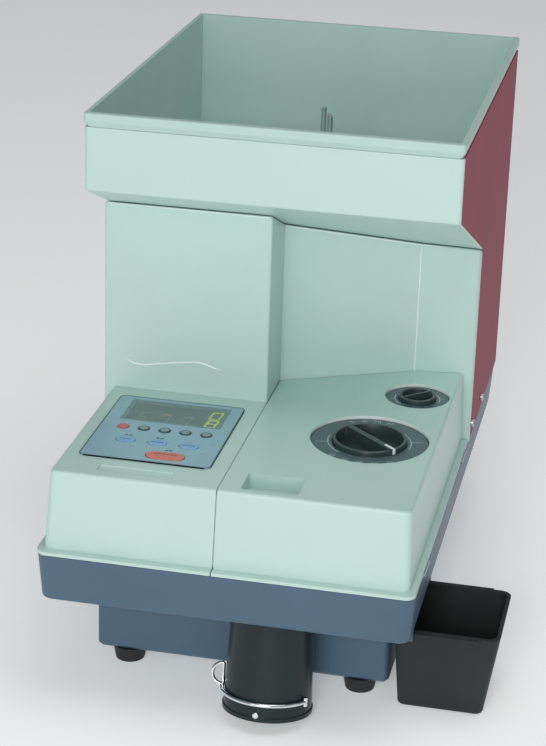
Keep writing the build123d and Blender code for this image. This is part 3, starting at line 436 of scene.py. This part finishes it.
# ---- figures behind the window -----------------------------------------------------------------
glass = middle("display_window")
glass_low, glass_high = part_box("display_window")
face_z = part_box("display_module")[1].z
lit_z = (face_z - 0.05 * MM, face_z + 0.25 * MM)
cell = 15.7 * MM
first = glass_low.x + 14.2 * MM
dim_cells = []
for k, sign in enumerate("547"):
    dim_cells += digit(sign, (first + k * cell, glass.y - 7.5 * MM), 15 * MM, 6.4 * MM, 1.2 * MM, 0, 0.12)
module_low, module_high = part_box("display_module")
mask_inset = 0.6 * MM
left, right = module_low.x + mask_inset, module_high.x - mask_inset
near, far = module_low.y + mask_inset, module_high.y - mask_inset
mask = [[(left, near), (right, near), (right, far), (left, far)]]
prisms("display_mask", mask, face_z - SKIN, face_z + 0.08 * MM, DISPLAY, "machine", "display")
prisms("display_dim_figures", dim_cells, *lit_z, DIM, "machine", "display")
lit_x = glass_high.x - 8.6 * MM
lit_cells = digit("0", (lit_x, glass.y + 7.2 * MM), 12.5 * MM, 7.0 * MM, 1.5 * MM, 0, 0.1)
lit_cells += digit("8", (lit_x, glass.y - 7.6 * MM), 12.5 * MM, 7.0 * MM, 1.7 * MM, 0, 0.1)
prisms("display_lit_figures", lit_cells, *lit_z, LIT, "machine", "display")
second = first + cell
fourth = first + 3 * cell
bar_y = glass.y + 0.5 * MM
dot_y = glass.y - 3 * MM
amber_bars = [
    stroke((second - 3 * MM, bar_y), (second + 4 * MM, bar_y), 2.2 * MM),
    stroke((fourth - 1.5 * MM, dot_y), (fourth + 1.5 * MM, dot_y), 1.8 * MM),
]
prisms("display_amber_bars", amber_bars, *lit_z, AMBER, "machine", "display")


# ---- pale beads on the tower, painted highlights -----------------------------------------------
def bead(name, points, radius, material, body, smooth):
    """A thin rounded bead that follows points, half sunk into the surface it lies on."""
    data = bpy.data.curves.new(name, "CURVE")
    data.dimensions = "3D"
    data.bevel_depth = radius
    data.bevel_resolution = 3
    data.use_fill_caps = True
    spline = data.splines.new("BEZIER" if smooth else "POLY")
    if smooth:
        spline.bezier_points.add(len(points) - 1)
        for knot, place in zip(spline.bezier_points, points):
            knot.co = place
            knot.handle_left_type = "AUTO"
            knot.handle_right_type = "AUTO"
        spline.bezier_points[0].radius = 0.2
        spline.bezier_points[-1].radius = 0.2
    else:
        spline.points.add(len(points) - 1)
        for knot, place in zip(spline.points, points):
            knot.co = (*place, 1)
    data.materials.append(material)
    made = bpy.data.objects.new(name, data)
    bpy.context.collection.objects.link(made)
    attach(made, body)
    return made


tower_low, tower_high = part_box("tower_cover")
deck_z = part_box("right_front_cover")[1].z
crease_x = tower_high.x - 44.9 * MM
crease_y = tower_low.y + 95.2 * MM
crease_top = tower_high.z - 42.0 * MM
# Painted highlight: pale glossy plastic for the beads and rings that stand in for bright highlight lines.
PAINTED_HIGHLIGHT = plastic("painted highlight bead", (0.80, 0.92, 0.88), rough=0.22, bump=0.03, vary=0.03, coat=0.3, worn_and_highlit_amount=0.1)
# Painted highlight: a pale bead down the crease in the tower wall.
crease_line = [(crease_x, crease_y, deck_z - 1 * MM), (crease_x, crease_y, crease_top)]
bead("wall_crease_painted_highlight", crease_line, 0.6 * MM, PAINTED_HIGHLIGHT, "machine", False)
# Painted highlight: a pale wavy bead across the front of the tower.
wave_start = tower_low.x + 14.9 * MM
wave_z = deck_z + 21.5 * MM
wave = [(0, 2.1), (10.6, -1.6), (27.9, 0.3), (47.1, 3.4), (58.5, 4.3), (68.1, 1.9), (75.8, -0.3)]
wave_line = [(wave_start + x * MM, tower_low.y + 0.1 * MM, wave_z + z * MM) for x, z in wave]
bead("tower_wave_painted_highlight", wave_line, 0.75 * MM, PAINTED_HIGHLIGHT, "machine", True)


# Painted highlights: pale beads along the rounded top edges of the tower, just under the sloped soffit.
soffit_slope = 0.43
edge_inset = 0.75 * MM
corner_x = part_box("left_front_cover")[1].x
groove_back = 47.1 * MM
crease_back = 95.3 * MM
wall_end_back = 101.6 * MM


def top_edge(x, back):
    """Point just inside the tower's top edge, at a distance behind its front face."""
    return (x, tower_low.y + back + edge_inset, tower_high.z - soffit_slope * back - edge_inset - 0.1 * MM)


front_edge = [top_edge(tower_low.x + 2.5 * MM, 0), top_edge(corner_x - 0.9 * MM, 0)]
bead("tower_edge_painted_highlight_left", front_edge, 0.6 * MM, PAINTED_HIGHLIGHT, "machine", False)
wall_edge = [
    top_edge(corner_x + 0.8 * MM, groove_back),
    top_edge(crease_x, crease_back),
    top_edge(tower_high.x - 4.5 * MM, wall_end_back),
]
bead("tower_edge_painted_highlight_right", wall_edge, 0.65 * MM, PAINTED_HIGHLIGHT, "machine", False)


# ---- painted highlight rings round the dials, and the web in the cover seam ---------------------
for kind in ("diameter", "thickness"):
    plate_low, plate_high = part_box(f"{kind}_dial_plate")
    plate_r = (plate_high.x - plate_low.x) / 2
    center = middle(f"{kind}_dial_plate")
    # Painted highlight: a pale ring in the gap round each dial plate stands in for the lit wall of the
    # hole.
    ring = [arc_band(center, plate_r + 0.30 * MM, plate_r + 0.75 * MM, 0, 359.9, 96)]
    prisms(f"{kind}_dial_painted_highlight_ring", ring, plate_high.z - 0.3 * MM, deck_z - SKIN, PAINTED_HIGHLIGHT, "front_lid",
           "body_plastic")


def web(name, outline, low_x, high_x, material, body):
    """Thin upright plate with a (y, z) outline, between two x values."""
    bm = bmesh.new()
    near = [bm.verts.new((low_x, y, z)) for y, z in outline]
    far = [bm.verts.new((high_x, y, z)) for y, z in outline]
    bm.faces.new(near)
    bm.faces.new(far)
    count = len(outline)
    for k in range(count):
        bm.faces.new((near[k], near[(k + 1) % count], far[(k + 1) % count], far[k]))
    return finish_piece(name, bm, material, body)


cover_low, cover_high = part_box("left_front_cover")
seam_low = cover_high.x + 0.1 * MM
seam_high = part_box("right_front_cover")[0].x - 0.1 * MM
seam_line = [
    (7.3, -55.0), (14.6, -4.2), (18.6, -0.6), (172.0, -0.6),
    (172.0, -3.0), (19.4, -3.0), (17.0, -5.0), (10.0, -55.0),
]
seam_outline = [(cover_low.y + y * MM, deck_z + z * MM) for y, z in seam_line]
web("seam_web", seam_outline, seam_low, seam_high, BODY, "machine")


# ---- rear screws ---------------------------------------------------------------------------------
def pan_head(name, place, radius, height, arm, body):
    """Domed screw head facing +Y with a cross recess cut into it."""
    bm = bmesh.new()
    rings = []
    for share, rise in ((1.0, 0.0), (1.0, 0.35), (0.88, 0.75), (0.68, 1.0)):
        loop = []
        for k in range(24):
            a = math.radians(15 * k)
            x = place.x + radius * share * math.cos(a)
            z = place.z + radius * share * math.sin(a)
            loop.append(bm.verts.new((x, place.y + height * rise, z)))
        rings.append(loop)
    for low, high in zip(rings, rings[1:]):
        for k in range(24):
            bm.faces.new((low[k], low[(k + 1) % 24], high[(k + 1) % 24], high[k]))
    half = arm * 0.22
    cross = [
        (half, arm), (half, half), (arm, half), (arm, -half), (half, -half), (half, -arm),
        (-half, -arm), (-half, -half), (-arm, -half), (-arm, half), (-half, half), (-half, arm),
    ]
    top = [bm.verts.new((place.x + x, place.y + height, place.z + z)) for x, z in cross]
    low = [bm.verts.new((place.x + x, place.y + height * 0.3, place.z + z)) for x, z in cross]
    count = len(cross)
    rim_edges = [bm.edges.get((rings[-1][k], rings[-1][(k + 1) % 24])) for k in range(24)]
    cross_edges = [bm.edges.new((top[k], top[(k + 1) % count])) for k in range(count)]
    bmesh.ops.triangle_fill(bm, edges=rim_edges + cross_edges, use_beauty=True)
    for k in range(count):
        bm.faces.new((top[k], top[(k + 1) % count], low[(k + 1) % count], low[k]))
    bm.faces.new(low)
    return finish_piece(name, bm, ZINC, body)


back_low, back_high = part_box("rear_panel")
inset = 9 * MM
heights = (back_low.z + inset, (back_low.z + back_high.z) / 2, back_high.z - inset)
for row, z in enumerate(heights):
    for column, x in enumerate((back_low.x + inset, back_high.x - inset)):
        place = Vector((x, back_high.y - 0.1 * MM, z))
        pan_head(f"rear_screw_{row}_{column}", place, 3.2 * MM, 1.3 * MM, 1.7 * MM, "machine")


# ---- light, floor, camera ----------------------------------------------------------------------
world = bpy.data.worlds.new("studio")
bpy.context.scene.world = world
world.use_nodes = True
world.node_tree.nodes["Background"].inputs["Color"].default_value = (0.96, 0.98, 1.0, 1)
world.node_tree.nodes["Background"].inputs["Strength"].default_value = 0.25


def area(name, place, aim, size, power, colour=(1, 1, 1)):
    data = bpy.data.lights.new(name, "AREA")
    data.energy = power
    data.shape = "RECTANGLE"
    data.size, data.size_y = size
    data.color = colour
    lamp = bpy.data.objects.new(name, data)
    bpy.context.collection.objects.link(lamp)
    lamp.location = place
    lamp.rotation_euler = (Vector(aim) - Vector(place)).to_track_quat("-Z", "Y").to_euler()
    return lamp


area("key front", (-0.50, -2.6, 1.40), (0, 0, 0.2), (1.8, 1.8), 10)
area("near camera", (0.05, -2.5, 1.22), (0, 0, 0.20), (0.6, 0.5), 16)
area("fill top", (0.45, -0.25, 2.1), (0, 0, 0.2), (1.4, 1.4), 11)
area("fill low", (0.1, -2.0, 0.50), (0.05, 0, 0.2), (1.0, 0.4), 5.5)
area("fill right", (1.8, -0.6, 0.90), (0.1, 0, 0.2), (1.0, 0.8), 1.0)

floor_reach = 4
bm = bmesh.new()
for sx, sy in ((-1, -1), (1, -1), (1, 1), (-1, 1)):
    bm.verts.new((sx * floor_reach, sy * floor_reach, 0))
bm.faces.new(bm.verts)
floor_mesh = bpy.data.meshes.new("floor")
bm.to_mesh(floor_mesh)
bm.free()
floor = bpy.data.objects.new("floor", floor_mesh)
bpy.context.collection.objects.link(floor)
pale = plastic("pale floor", (0.86, 0.87, 0.87), rough=0.75, bump=0.0, vary=0.01, mottle=2.0, spec=0.1,
               worn_and_highlit_amount=0.0)
floor_shader = pale.node_tree.nodes["Principled BSDF"]
floor_shader.inputs["Emission Color"].default_value = (0.98, 1.0, 1.0, 1)
floor_shader.inputs["Emission Strength"].default_value = 0.28
floor.data.materials.append(pale)

yaw = math.radians(11.44)
pitch = math.radians(21.70)
roll = math.radians(1.85)
ahead = Vector((-math.sin(yaw) * math.cos(pitch), math.cos(yaw) * math.cos(pitch), -math.sin(pitch)))
right = Vector((math.cos(yaw), math.sin(yaw), 0))
up = right.cross(ahead)
cam_x = right * math.cos(roll) + up * math.sin(roll)
cam_y = up * math.cos(roll) - right * math.sin(roll)
turn = Matrix((cam_x, cam_y, -ahead)).transposed().to_4x4()
cam_data = bpy.data.cameras.new("camera")
cam_data.sensor_fit = "VERTICAL"
cam_data.sensor_height = 36
cam_data.lens = 104.65
cam = bpy.data.objects.new("camera", cam_data)
bpy.context.collection.objects.link(cam)
cam.matrix_world = Matrix.Translation(Vector((0.26435, -1.50708, 0.7887))) @ turn
bpy.context.scene.camera = cam
bpy.context.scene.view_settings.view_transform = "Standard"
